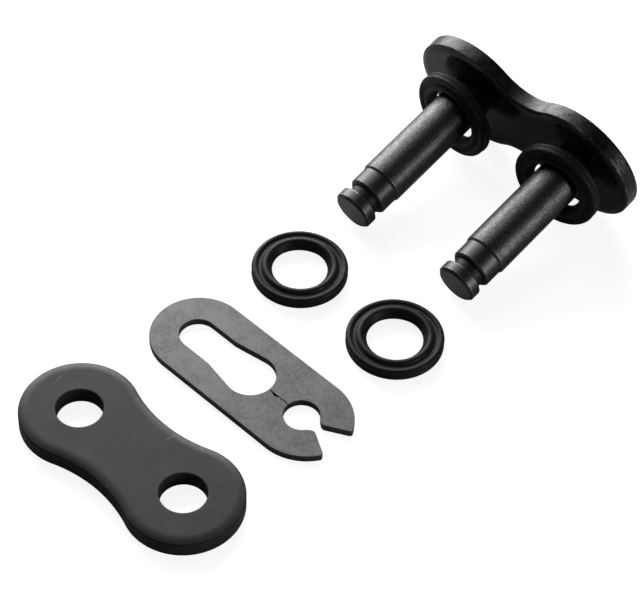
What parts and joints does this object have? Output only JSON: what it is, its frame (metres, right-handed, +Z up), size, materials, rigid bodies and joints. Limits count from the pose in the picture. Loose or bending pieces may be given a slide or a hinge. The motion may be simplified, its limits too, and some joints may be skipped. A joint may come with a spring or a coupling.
{
  "type": "chain connecting link",
  "caption": "Clip-type connecting link of a seal-ring roller chain, laid out in pieces: plate with riveted pins, lobed seal rings, spring clip and cover plate.",
  "frame": {"origin": "on the floor, under the middle of the layout's box", "axes": "+X along the chain's pitch, +Z up, the pins point towards -Y and the row of loose pieces runs on in -Y"},
  "size_m": [0.0312, 0.0716, 0.0152],
  "materials": {
    "blackened_plate": "blackened steel, semi-gloss",
    "cover_steel": "blackened steel, satin",
    "pin_steel": "dark hardened steel, satin with fine pitting",
    "clip_steel": "matte grey spring steel",
    "seal_rubber": "black nitrile rubber"
  },
  "bodies": {
    "root": {"pin_plate": "blackened_plate", "left_pin": "pin_steel", "right_pin": "pin_steel", "left_pin_seal": "seal_rubber", "right_pin_seal": "seal_rubber", "left_loose_seal": "seal_rubber", "right_loose_seal": "seal_rubber", "spring_clip": "clip_steel", "cover_plate": "cover_steel"}
  },
  "joints": []
}
